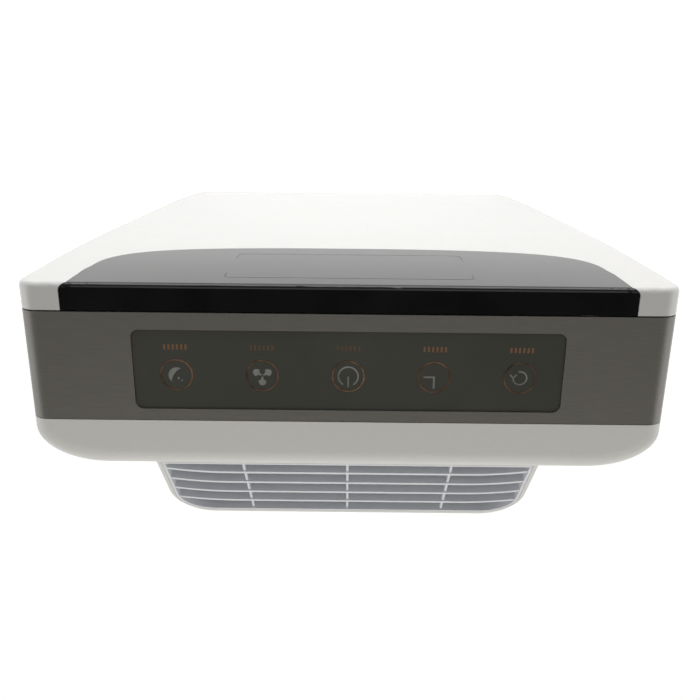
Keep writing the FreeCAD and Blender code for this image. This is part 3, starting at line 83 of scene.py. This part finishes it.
def add_lamp(name, place, target, size, power, colour):
    data = bpy.data.lights.new(name, "AREA")
    data.shape = "RECTANGLE"
    data.size, data.size_y = size
    data.energy = power
    data.color = colour
    lamp = bpy.data.objects.new(name, data)
    bpy.context.scene.collection.objects.link(lamp)
    aim = (Vector(target) - Vector(place)).to_track_quat("-Z", "Y")
    lamp.matrix_world = Matrix.Translation(place) @ aim.to_matrix().to_4x4()


def light_studio():
    """A strong soft light low in front, weaker ones above, behind and at the sides, and a pale horizon."""
    scene = bpy.context.scene
    scene.view_settings.view_transform = "Standard"
    world = bpy.data.worlds.new("studio")
    scene.world = world
    world.use_nodes = True
    sky = world.node_tree.nodes["Background"]
    sky.inputs["Color"].default_value = (1.0, 0.99, 0.975, 1.0)
    direction = world.node_tree.nodes.new("ShaderNodeTexCoord")
    height = world.node_tree.nodes.new("ShaderNodeSeparateXYZ")
    fade = world.node_tree.nodes.new("ShaderNodeMapRange")
    fade.interpolation_type = "SMOOTHSTEP"
    fade.inputs["From Min"].default_value = FADE_FROM
    fade.inputs["From Max"].default_value = FADE_TO
    fade.inputs["To Min"].default_value = HORIZON_GLOW
    fade.inputs["To Max"].default_value = OVERHEAD_GLOW
    world.node_tree.links.new(direction.outputs["Generated"], height.inputs["Vector"])
    world.node_tree.links.new(height.outputs["Z"], fade.inputs["Value"])
    world.node_tree.links.new(fade.outputs["Result"], sky.inputs["Strength"])
    for lamp in LAMPS:
        add_lamp(*lamp)


def lay_floor():
    bpy.ops.object.select_all(action="DESELECT")
    bpy.ops.mesh.primitive_plane_add(size=FLOOR_SIZE, location=(0.0, 0.0, 0.0))
    floor = bpy.context.object
    floor.name = "floor"
    floor.data.materials.append(floor_finish())


# ---------------------------------------------------------------- finishes
class Finish:
    """A material on the Principled shader, with the few node patterns that this object's finishes share."""

    def __init__(self, name, colour, roughness, metallic=0.0):
        self.material = bpy.data.materials.new(name)
        self.material.use_nodes = True
        self.nodes = self.material.node_tree.nodes
        self.links = self.material.node_tree.links
        self.shader = self.nodes["Principled BSDF"]
        self.shader.inputs["Base Color"].default_value = (*colour, 1.0)
        self.shader.inputs["Roughness"].default_value = roughness
        self.shader.inputs["Metallic"].default_value = metallic
        self.place = self.nodes.new("ShaderNodeTexCoord").outputs["Object"]

    def set(self, **values):
        for name, value in values.items():
            self.shader.inputs[name.replace("_", " ")].default_value = value
        return self

    def stretched(self, stretch):
        mapping = self.nodes.new("ShaderNodeMapping")
        mapping.inputs["Scale"].default_value = stretch
        self.links.new(self.place, mapping.inputs["Vector"])
        return mapping.outputs["Vector"]

    def noise(self, scale, detail=3.0, rough=0.5, stretch=None):
        node = self.nodes.new("ShaderNodeTexNoise")
        node.inputs["Scale"].default_value = scale
        node.inputs["Detail"].default_value = detail
        node.inputs["Roughness"].default_value = rough
        self.links.new(self.stretched(stretch) if stretch else self.place, node.inputs["Vector"])
        return node.outputs["Fac"]

    def cells(self, scale, output="Distance"):
        node = self.nodes.new("ShaderNodeTexVoronoi")
        node.inputs["Scale"].default_value = scale
        self.links.new(self.place, node.inputs["Vector"])
        return node.outputs[output]

    def spread(self, value, low, high):
        """Maps the middle of a pattern's range to low..high."""
        node = self.nodes.new("ShaderNodeMapRange")
        node.inputs["From Min"].default_value = 0.3
        node.inputs["From Max"].default_value = 0.7
        node.inputs["To Min"].default_value = low
        node.inputs["To Max"].default_value = high
        self.links.new(value, node.inputs["Value"])
        return node.outputs["Result"]

    def vary_colour(self, value, dark, light, start=0.3, end=0.7):
        ramp = self.nodes.new("ShaderNodeValToRGB")
        ramp.color_ramp.elements[0].position = start
        ramp.color_ramp.elements[0].color = (*dark, 1.0)
        ramp.color_ramp.elements[1].position = end
        ramp.color_ramp.elements[1].color = (*light, 1.0)
        self.links.new(value, ramp.inputs["Fac"])
        self.links.new(ramp.outputs["Color"], self.shader.inputs["Base Color"])
        return self

    def vary_roughness(self, value, low, high):
        self.links.new(self.spread(value, low, high), self.shader.inputs["Roughness"])
        return self

    def emboss(self, value, strength, depth):
        bump = self.nodes.new("ShaderNodeBump")
        bump.inputs["Strength"].default_value = strength
        bump.inputs["Distance"].default_value = depth
        self.links.new(value, bump.inputs["Height"])
        self.links.new(bump.outputs["Normal"], self.shader.inputs["Normal"])
        return self


def floor_finish():
    f = Finish("floor", (0.62, 0.62, 0.62), 0.7)
    f.set(Emission_Color=(1.0, 1.0, 1.0, 1.0), Emission_Strength=0.72)
    return f.vary_colour(f.noise(3.0), (0.61, 0.61, 0.61), (0.63, 0.63, 0.63)).material


def gloss_white():
    f = Finish("gloss_white", (0.68, 0.677, 0.66), 0.24)
    f.set(Coat_Weight=0.35, Coat_Roughness=0.08)
    f.vary_colour(f.noise(160.0, 4.0), (0.664, 0.660, 0.641), (0.674, 0.670, 0.651))
    f.vary_roughness(f.noise(700.0, 3.0), 0.24, 0.27)
    f.emboss(f.noise(160.0, 1.0), 0.03, 0.00002)
    return f.material


def satin_white(name, colour):
    """White plastic with a fine spark-eroded grain, on the shells and grille behind the grey frame."""
    f = Finish(name, colour, 0.5)
    light = tuple(c + 0.012 for c in colour)
    f.vary_colour(f.noise(220.0, 4.0), colour, light)
    f.vary_roughness(f.noise(130.0, 4.0), 0.46, 0.56)
    f.emboss(f.noise(1300.0, 3.0), 0.15, 0.00006)
    return f.material


def grey_metallic():
    """Champagne-grey metallic paint: fine flakes with a faint drawn grain across the body."""
    f = Finish("grey_metallic", (0.18, 0.172, 0.152), 0.40, 0.25)
    f.set(Coat_Weight=0.35, Coat_Roughness=0.10)
    f.vary_colour(f.noise(900.0, 4.0, 0.7, (0.06, 1.0, 1.0)), (0.170, 0.162, 0.143), (0.198, 0.189, 0.168))
    f.vary_roughness(f.cells(1800.0), 0.36, 0.44)
    f.emboss(f.noise(900.0, 2.0), 0.08, 0.00005)
    return f.material


def black_gloss():
    f = Finish("black_gloss", (0.006, 0.006, 0.007), 0.05)
    f.vary_colour(f.noise(30.0), (0.004, 0.004, 0.0045), (0.008, 0.008, 0.009))
    f.vary_roughness(f.noise(18.0, 6.0, 0.6), 0.03, 0.09)
    f.emboss(f.noise(260.0, 2.0), 0.03, 0.00005)
    return f.material


def smoked_glass():
    """Brown-grey tinted window over the touch points, with faint dust in its surface."""
    f = Finish("smoked_glass", (0.07, 0.07, 0.06), 0.12)
    f.set(Coat_Weight=0.4, Coat_Roughness=0.06)
    f.vary_colour(f.noise(9.0, 5.0, 0.6), (0.062, 0.062, 0.052), (0.080, 0.080, 0.069))
    f.vary_roughness(f.noise(60.0, 6.0, 0.65), 0.10, 0.20)
    f.emboss(f.noise(700.0, 2.0), 0.05, 0.00004)
    return f.material


def copper_ring():
    f = Finish("copper_ring", (0.52, 0.33, 0.24), 0.3, 1.0)
    # The base colour swings in slow patches from dark to bright copper along each ring: painted highlights
    # and painted shade.
    f.vary_colour(f.noise(45.0, 1.0), (0.18, 0.11, 0.075), (0.60, 0.37, 0.23))
    f.vary_roughness(f.noise(200.0), 0.30, 0.42)
    f.emboss(f.noise(300.0, 1.0), 0.03, 0.00002)
    return f.material


def contact_brass():
    f = Finish("contact_brass", (0.62, 0.47, 0.20), 0.28, 1.0)
    f.vary_colour(f.noise(260.0), (0.55, 0.41, 0.17), (0.68, 0.53, 0.25))
    f.vary_roughness(f.noise(800.0), 0.20, 0.36)
    f.emboss(f.noise(1200.0, 2.0), 0.1, 0.00003)
    return f.material


def moulded(name, colour, shift=0.03, roughness=0.5, grain=1400.0, depth=0.00006):
    f = Finish(name, colour, roughness)
    dark = tuple(max(c - shift / 2, 0.002) for c in colour)
    light = tuple(c + shift / 2 for c in colour)
    f.vary_colour(f.noise(40.0, 5.0), dark, light)
    f.vary_roughness(f.noise(120.0), roughness - 0.06, roughness + 0.06)
    f.emboss(f.noise(grain, 2.0), 0.25, depth)
    return f.material


def steel():
    f = Finish("spring_steel", (0.60, 0.60, 0.61), 0.25, 1.0)
    f.vary_colour(f.noise(200.0), (0.54, 0.54, 0.55), (0.66, 0.66, 0.67))
    f.vary_roughness(f.noise(700.0, 4.0, 0.6, (1.0, 0.05, 1.0)), 0.18, 0.34)
    f.emboss(f.noise(1500.0, 2.0), 0.1, 0.00003)
    return f.material


def granules():
    """Crushed charcoal: angular grains with a dull sparkle."""
    f = Finish("carbon", (0.02, 0.02, 0.02), 0.7)
    f.vary_colour(f.cells(320.0, "Color"), (0.008, 0.008, 0.008), (0.05, 0.05, 0.052))
    f.vary_roughness(f.cells(320.0, "Color"), 0.45, 0.9)
    f.emboss(f.cells(320.0), 0.9, 0.0016)
    return f.material


def filter_paper():
    f = Finish("filter_paper", (0.80, 0.80, 0.76), 0.85)
    f.vary_colour(f.noise(600.0, 6.0, 0.7), (0.74, 0.74, 0.70), (0.84, 0.84, 0.80))
    f.vary_roughness(f.noise(90.0), 0.80, 0.95)
    f.emboss(f.noise(900.0, 5.0, 0.7), 0.4, 0.0002)
    return f.material


def circuit_board():
    f = Finish("circuit_board", (0.02, 0.13, 0.06), 0.35)
    f.set(Coat_Weight=0.4, Coat_Roughness=0.2)
    f.vary_colour(f.cells(160.0, "Color"), (0.012, 0.10, 0.045), (0.03, 0.17, 0.08))
    f.vary_roughness(f.noise(300.0), 0.28, 0.45)
    f.emboss(f.cells(160.0), 0.3, 0.0001)
    return f.material


def printed(name, faint, strong, patch):
    """Thin print under the window; its strength changes along it in broad random patches."""
    f = Finish(name, strong, 0.45)
    f.vary_colour(f.noise(patch, 2.0), faint, strong, 0.35, 0.65)
    f.vary_roughness(f.noise(400.0), 0.38, 0.55)
    f.emboss(f.noise(2500.0, 2.0), 0.1, 0.00002)
    return f.material


ICON_PRINT = printed("icon_print", (0.16, 0.16, 0.15), (0.30, 0.30, 0.29), 60.0)
LABEL_PRINT = printed("label_print", (0.062, 0.052, 0.038), (0.21, 0.105, 0.05), 22.0)
OUTLINE_PRINT = printed("outline_print", (0.030, 0.030, 0.030), (0.060, 0.058, 0.055), 20.0)

FINISHES = {
    "gloss_white": gloss_white(),
    "grey_metallic": grey_metallic(),
    "black_gloss": black_gloss(),
    "copper_ring": copper_ring(),
    "chamber_plastic": moulded("chamber_plastic", (0.62, 0.62, 0.61)),
    "black_plastic": moulded("black_plastic", (0.022, 0.022, 0.023), 0.008),
    "circuit_board": circuit_board(),
    "spring_steel": steel(),
    "contact_brass": contact_brass(),
    "motor_steel": moulded("motor_steel", (0.20, 0.20, 0.21), 0.03, 0.4),
    "fan_plastic": moulded("fan_plastic", (0.09, 0.09, 0.10), 0.02, 0.42),
    "filter_frame": moulded("filter_frame", (0.70, 0.70, 0.69)),
    "prefilter_net": moulded("prefilter_net", (0.05, 0.05, 0.055), 0.02, 0.6),
    "filter_paper": filter_paper(),
    "filter_foam": moulded("filter_foam", (0.14, 0.14, 0.14), 0.04, 0.9, 500.0, 0.0004),
    "filter_tab": moulded("filter_tab", (0.75, 0.75, 0.74), 0.03, 0.8),
    "carbon": granules(),
    "foot_rubber": moulded("foot_rubber", (0.04, 0.04, 0.04), 0.015, 0.75),
}
SATIN = satin_white("satin_white", (0.745, 0.738, 0.715))
# The grille's finish below is bluer and lighter than the shells' white: painted cool light on its shaded
# blades.
OWN_FINISHES = {"control_lens": smoked_glass(), "rear_housing": SATIN, "rear_cover": SATIN,
                "outlet_grille": satin_white("grille_white_painted_cool_light", (0.76, 0.775, 0.81))}


def coat_cad_nodes():
    for row in frame["record"]["subparts"]:
        node = row["node"]
        piece = nodes[node]
        piece.data.materials.clear()
        piece.data.materials.append(OWN_FINISHES.get(node) or FINISHES[row["material_slot"]])


# ---------------------------------------------------------------- modelling by hand
def clear_hands():
    if bpy.context.object and bpy.context.object.mode != "OBJECT":
        bpy.ops.object.mode_set(mode="OBJECT")
    bpy.ops.object.select_all(action="DESELECT")


def settle(piece, name, finish, body):
    """Sets a finished piece at the origin, faces outward, and puts it on its body."""
    clear_hands()
    piece.name = name
    piece.data.name = name
    piece.select_set(True)
    bpy.context.view_layer.objects.active = piece
    bpy.ops.object.transform_apply(location=True, rotation=True, scale=True)
    bpy.ops.object.mode_set(mode="EDIT")
    bpy.ops.mesh.select_all(action="SELECT")
    bpy.ops.mesh.normals_make_consistent(inside=False)
    bpy.ops.object.mode_set(mode="OBJECT")
    piece.data.materials.clear()
    piece.data.materials.append(finish)
    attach(piece, body)
    clear_hands()


def pick(piece, wanted):
    """Selects the vertices whose place passes the test, and nothing else."""
    for part in (*piece.data.edges, *piece.data.polygons):
        part.select = False
    for vertex in piece.data.vertices:
        vertex.select = wanted(vertex.co)


def join_up(pieces):
    clear_hands()
    for piece in pieces:
        piece.select_set(True)
    bpy.context.view_layer.objects.active = pieces[0]
    bpy.ops.object.join()
    return bpy.context.object


def thicken():
    """Gives the flat print being edited its thickness."""
    bpy.ops.mesh.select_all(action="SELECT")
    bpy.ops.mesh.extrude_region_move(TRANSFORM_OT_translate={"value": (0.0, 0.0, PRINT_T)})


def turn(angle):
    """Turns what is selected in edit mode about the vertical through the origin."""
    bpy.ops.transform.rotate(value=-angle, orient_axis="Z", center_override=(0.0, 0.0, 0.0))


def print_bar(x, y, length, width, angle, along=0.5):
    """A straight stroke with cut corners; along says where on it x, y lies."""
    clear_hands()
    bpy.ops.mesh.primitive_plane_add(size=1.0, location=(0.0, 0.0, 0.0))
    bar = bpy.context.object
    bpy.ops.object.mode_set(mode="EDIT")
    bpy.ops.transform.resize(value=(length, width, 1.0), center_override=(0.0, 0.0, 0.0))
    bpy.ops.transform.translate(value=(length * (0.5 - along), 0.0, 0.0))
    turn(angle)
    bpy.ops.transform.translate(value=(x, y, PRINT_Z))
    bpy.ops.mesh.bevel(offset=width * 0.2, segments=2, affect="VERTICES")
    thicken()
    bpy.ops.object.mode_set(mode="OBJECT")
    return bar


def print_arc(x, y, radius, width, start, end):
    """A ring stroke from one angle to another, both in degrees."""
    clear_hands()
    middle = (x, y, PRINT_Z)
    bpy.ops.mesh.primitive_circle_add(vertices=72, radius=radius, fill_type="NOTHING", location=middle)
    arc = bpy.context.object

    def beyond(place):
        angle = math.degrees(math.atan2(place.y, place.x)) % 360.0
        return not start - 0.01 <= angle <= end + 0.01

    pick(arc, beyond)
    bpy.ops.object.mode_set(mode="EDIT")
    bpy.ops.mesh.delete(type="VERT")
    bpy.ops.mesh.select_all(action="SELECT")
    bpy.ops.mesh.extrude_edges_move()
    shrink = (radius - width) / radius
    bpy.ops.transform.resize(value=(shrink, shrink, 1.0), center_override=middle)
    thicken()
    bpy.ops.object.mode_set(mode="OBJECT")
    return arc


def print_petal(x, y, angle):
    """A fan blade's outline: narrow at the hub, wide and round at the tip."""
    clear_hands()
    bpy.ops.mesh.primitive_circle_add(vertices=20, radius=1.0, fill_type="NGON", location=(0.0, 0.0, 0.0))
    petal = bpy.context.object
    pick(petal, lambda place: place.x < -0.2)
    bpy.ops.object.mode_set(mode="EDIT")
    bpy.ops.transform.resize(value=(1.0, PETAL_NARROW, 1.0), center_override=(0.0, 0.0, 0.0))
    bpy.ops.mesh.select_all(action="SELECT")
    bpy.ops.transform.resize(value=(PETAL_REACH / 2, PETAL_W / 2, 1.0), center_override=(0.0, 0.0, 0.0))
    bpy.ops.transform.translate(value=(PETAL_REACH / 2 + PETAL_ROOT, 0.0, 0.0))
    turn(angle)
    bpy.ops.transform.translate(value=(x, y, PRINT_Z))
    thicken()
    bpy.ops.object.mode_set(mode="OBJECT")
    return petal


def print_moon(x, y):
    """A crescent: one side of a disc folded back across it."""
    clear_hands()
    bpy.ops.mesh.primitive_circle_add(vertices=48, radius=MOON_R, fill_type="NGON", location=(0.0, 0.0, 0.0))
    moon = bpy.context.object
    pick(moon, lambda place: place.x > 1e-5)
    bpy.ops.object.mode_set(mode="EDIT")
    bpy.ops.transform.resize(value=(MOON_FOLD, 1.0, 1.0), center_override=(0.0, 0.0, 0.0))
    bpy.ops.mesh.select_all(action="SELECT")
    turn(math.radians(MOON_TURN))
    bpy.ops.transform.translate(value=(x, y, PRINT_Z))
    thicken()
    bpy.ops.object.mode_set(mode="OBJECT")
    return moon


# ---------------------------------------------------------------- prints on the control window
PRINT_T = 0.06 * MM
PRINT_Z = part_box("control_lens")[1].z - 0.01 * MM
RINGS_LOW, RINGS_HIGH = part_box("touch_rings")
TOUCH_Y = (RINGS_LOW.y + RINGS_HIGH.y) / 2
TOUCH_R = (RINGS_HIGH.y - RINGS_LOW.y) / 2
TOUCH_PITCH = (RINGS_HIGH.x - RINGS_LOW.x - 2 * TOUCH_R) / 4
LABEL_Y = TOUCH_Y - 17.9 * MM
STROKE = 0.85 * MM
CYCLE_R = 4.6 * MM
CYCLE_SWEEP = 285.0      # degrees of its ring that are drawn
HEAD_STROKE = 3.0 * MM
HAND_W = 1.05 * MM
POWER_R = 6.5 * MM
POWER_GAP = 28.0         # degrees left open on each side of the bar
PETAL_REACH, PETAL_W = 6.0 * MM, 4.8 * MM
PETAL_ROOT = 0.4 * MM    # from the hub's middle to the petal
PETAL_NARROW = 0.35      # width at the root over width at the tip
MOON_R = 5.2 * MM
MOON_FOLD = -0.35        # how far the far side of the disc is folded back over its middle
MOON_TURN = 145.0
BLOCKS = 6
BLOCK_PITCH, BLOCK_H, BLOCK_W = 2.6 * MM, 3.5 * MM, 1.3 * MM


def cycle_icon(x, y):
    """A round arrow, for the function that runs by itself."""
    tip_x = x + CYCLE_R - STROKE / 2
    head = [print_bar(tip_x, y, HEAD_STROKE, STROKE, math.radians(a), 1.0) for a in (48.0, 132.0)]
    return [print_arc(x, y, CYCLE_R, STROKE, 0.0, CYCLE_SWEEP)] + head


def clock_icon(x, y):
    """Two clock hands; the level one starts beside the upright one, so that they don't overlap."""
    return [print_bar(x, y - 0.5 * MM, 7.8 * MM, HAND_W, math.pi / 2, 0.0),
            print_bar(x + 0.53 * MM, y, 6.0 * MM, HAND_W, 0.0, 0.0)]


def power_icon(x, y):
    left = print_arc(x, y, POWER_R, STROKE, 90.0 + POWER_GAP, 360.0)
    right = print_arc(x, y, POWER_R, STROKE, 0.0, 90.0 - POWER_GAP)
    return [left, right, print_bar(x, y, 7.0 * MM, STROKE, math.pi / 2, 0.0)]


def fan_icon(x, y):
    return [print_petal(x, y, math.radians(a)) for a in (90.0, 210.0, 330.0)]


def sleep_icon(x, y):
    """A moon with two dots beside it."""
    moon = print_moon(x - 0.2 * MM, y + 0.4 * MM)
    dots = [print_arc(x - dx * MM, y + dy * MM, r * MM, (r - 0.02) * MM, 0.0, 360.0)
            for dx, dy, r in ((1.2, 2.2, 0.7), (3.2, 3.6, 0.5))]
    return [moon] + dots


def label_mark(x, y):
    """A row of plain upright blocks in place of a printed word."""
    return [print_bar(x + (k - (BLOCKS - 1) / 2) * BLOCK_PITCH, y, BLOCK_H, BLOCK_W, math.pi / 2)
            for k in range(BLOCKS)]


def print_controls():
    touches = [("cycle", cycle_icon), ("clock", clock_icon), ("power", power_icon), ("fan", fan_icon),
               ("sleep", sleep_icon)]
    for i, (name, draw) in enumerate(touches):
        x = (i - 2) * TOUCH_PITCH
        icon = join_up(draw(x, TOUCH_Y))
        settle(icon, name + "_icon", ICON_PRINT, "body")
        mark = join_up(label_mark(x, LABEL_Y))
        settle(mark, name + "_label", LABEL_PRINT, "body")


# ---------------------------------------------------------------- display window's edge on the black lens
DISPLAY_HALF_X = 77.2 * MM
DISPLAY_HIGH, DISPLAY_LOW = 17.2 * MM, 85.8 * MM     # below the top of the lens
OUTLINE_W = 0.45 * MM
OUTLINE_R = 4.0 * MM
OUTLINE_PROUD = 0.06 * MM
AHEAD_Y = -0.12                                      # in front of the cover


def outline_display():
    """A fine rounded frame that follows the bulged lens in front of the display."""
    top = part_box("display_lens")[1].z
    middle = (0.0, AHEAD_Y, top - (DISPLAY_HIGH + DISPLAY_LOW) / 2)
    size = (2 * DISPLAY_HALF_X, 1.0, DISPLAY_LOW - DISPLAY_HIGH)
    clear_hands()
    bpy.ops.mesh.primitive_plane_add(size=1.0, location=middle, rotation=(math.pi / 2, 0.0, 0.0))
    outline = bpy.context.object
    bpy.ops.object.transform_apply(location=True, rotation=True, scale=True)
    bpy.ops.object.mode_set(mode="EDIT")
    bpy.ops.transform.resize(value=size, center_override=middle)
    bpy.ops.mesh.bevel(offset=OUTLINE_R, segments=5, affect="VERTICES")
    bpy.ops.mesh.subdivide(number_cuts=7)
    bpy.ops.mesh.select_all(action="SELECT")
    bpy.ops.mesh.dissolve_limited(angle_limit=0.0001, use_dissolve_boundaries=False)
    bpy.ops.mesh.inset(thickness=OUTLINE_W)
    bpy.ops.mesh.delete(type="FACE")
    bpy.ops.object.mode_set(mode="OBJECT")
    wrap = outline.modifiers.new("wrap", "SHRINKWRAP")
    wrap.target = nodes["display_lens"]
    wrap.wrap_method = "PROJECT"
    wrap.use_project_y = True
    wrap.offset = OUTLINE_PROUD
    bpy.ops.object.modifier_apply(modifier="wrap")
    settle(outline, "display_outline", OUTLINE_PRINT, "cover")


# ---------------------------------------------------------------- filters
NET_PITCH = 4.4 * MM
THREAD_W = 0.9 * MM
THREAD_EDGE = 0.12 * MM
THREAD_SHARE = 0.55      # a thread's depth over the net's, so that crossing threads sink into each other


def strand(size, place):
    """One flat thread of the net with rounded edges."""
    clear_hands()
    bpy.ops.mesh.primitive_cube_add(size=1.0, location=place)
    thread = bpy.context.object
    bpy.ops.object.mode_set(mode="EDIT")
    bpy.ops.transform.resize(value=size, center_override=place)
    bpy.ops.mesh.bevel(offset=THREAD_EDGE, segments=1)
    bpy.ops.object.mode_set(mode="OBJECT")
    return thread


def repeat(piece, count, step):
    """Copies the piece along a row as real mesh."""
    rows = piece.modifiers.new("rows", "ARRAY")
    rows.count = count
    rows.use_relative_offset = False
    rows.use_constant_offset = True
    rows.constant_offset_displace = step
    clear_hands()
    piece.select_set(True)
    bpy.context.view_layer.objects.active = piece
    bpy.ops.object.modifier_apply(modifier="rows")
    return piece


def weave_net():
    """An open net in place of the closed sheet: upright threads behind, level threads welded on in front."""
    low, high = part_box("prefilter_net")
    middle = (low + high) / 2
    flat = (high.y - low.y) * THREAD_SHARE
    across = int((high.x - low.x) // NET_PITCH)
    up = int((high.z - low.z) // NET_PITCH)
    x0 = middle.x - (across - 1) * NET_PITCH / 2
    z0 = middle.z - (up - 1) * NET_PITCH / 2
    upright = strand((THREAD_W, flat, high.z - low.z), (x0, high.y - flat / 2, middle.z))
    level = strand((high.x - low.x, flat, THREAD_W), (middle.x, low.y + flat / 2, z0))
    uprights = repeat(upright, across, (NET_PITCH, 0.0, 0.0))
    levels = repeat(level, up, (0.0, 0.0, NET_PITCH))
    net = join_up([uprights, levels])
    settle(net, "prefilter_weave", FINISHES["prefilter_net"], "prefilter")
    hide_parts("prefilter_net")


# ---------------------------------------------------------------- the scene
place_camera()
light_studio()
lay_floor()
coat_cad_nodes()
print_controls()
outline_display()
weave_net()
